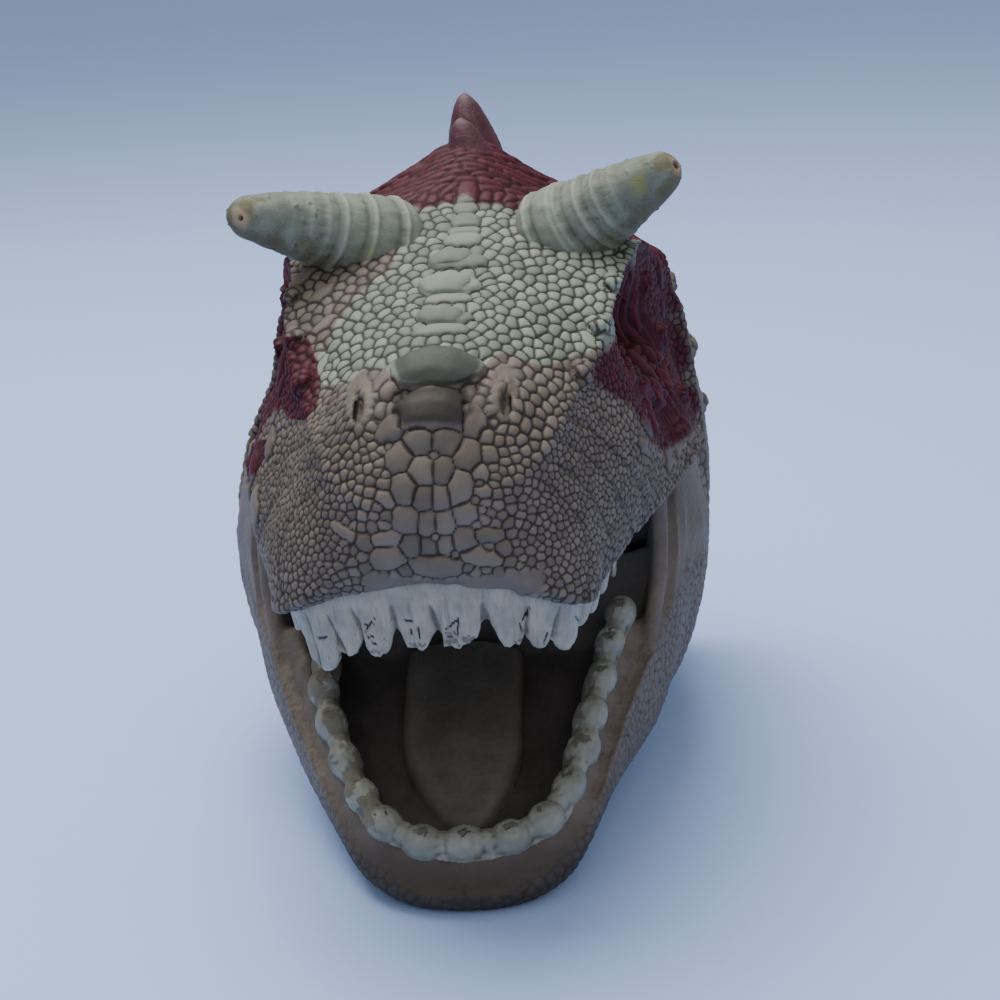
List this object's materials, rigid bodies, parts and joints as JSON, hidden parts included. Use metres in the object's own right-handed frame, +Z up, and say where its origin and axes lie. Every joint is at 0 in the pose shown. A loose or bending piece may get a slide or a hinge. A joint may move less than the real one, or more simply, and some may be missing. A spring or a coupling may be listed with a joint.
{
  "type": "dinosaur head hand puppet",
  "caption": "Soft rubber horned dinosaur head worn as a glove; fingers hold the snout and the thumb works the hinged lower jaw.",
  "frame": {"origin": "on the table, under the middle of the head's bounding box", "axes": "+Z up; the snout points along -Y and the hand goes in from +Y; +X is the dinosaur's left"},
  "size_m": [0.1088, 0.168, 0.1503],
  "materials": {
    "skin": "matt grey-brown scaled rubber with cream and dark red overspray",
    "horn": "matt pale greenish cream paint, ringed, with dirt in the grooves",
    "crest": "matt dark red paint",
    "teeth": "satin off-white paint, chipped and dirty",
    "mouth_lining": "satin dark brown rubber",
    "tongue": "satin smooth brown rubber",
    "eye": "glossy painted eye"
  },
  "bodies": {
    "head": {"head_skin": "skin", "palate_lining": "mouth_lining", "throat_wall": "mouth_lining", "upper_tooth_strip": "teeth", "left_eye": "eye", "right_eye": "eye", "left_horn": "horn", "right_horn": "horn", "crest_spine_1": "crest", "crest_spine_2": "crest", "crest_spine_3": "crest", "crest_spine_4": "crest", "neck_sleeve": "skin", "neck_cuff": "skin"},
    "jaw": {"jaw_skin": "skin", "mouth_floor": "mouth_lining", "tongue": "tongue", "lower_tooth_strip": "teeth"}
  },
  "joints": [
    {"name": "jaw_hinge", "type": "hinge", "parent": "head", "child": "jaw", "pos_m": [0, 0.005, 0.068], "axis": [-1, 0, 0], "range_deg": [-5, 28], "stiffness_Nm_per_rad": 2.5}
  ]
}
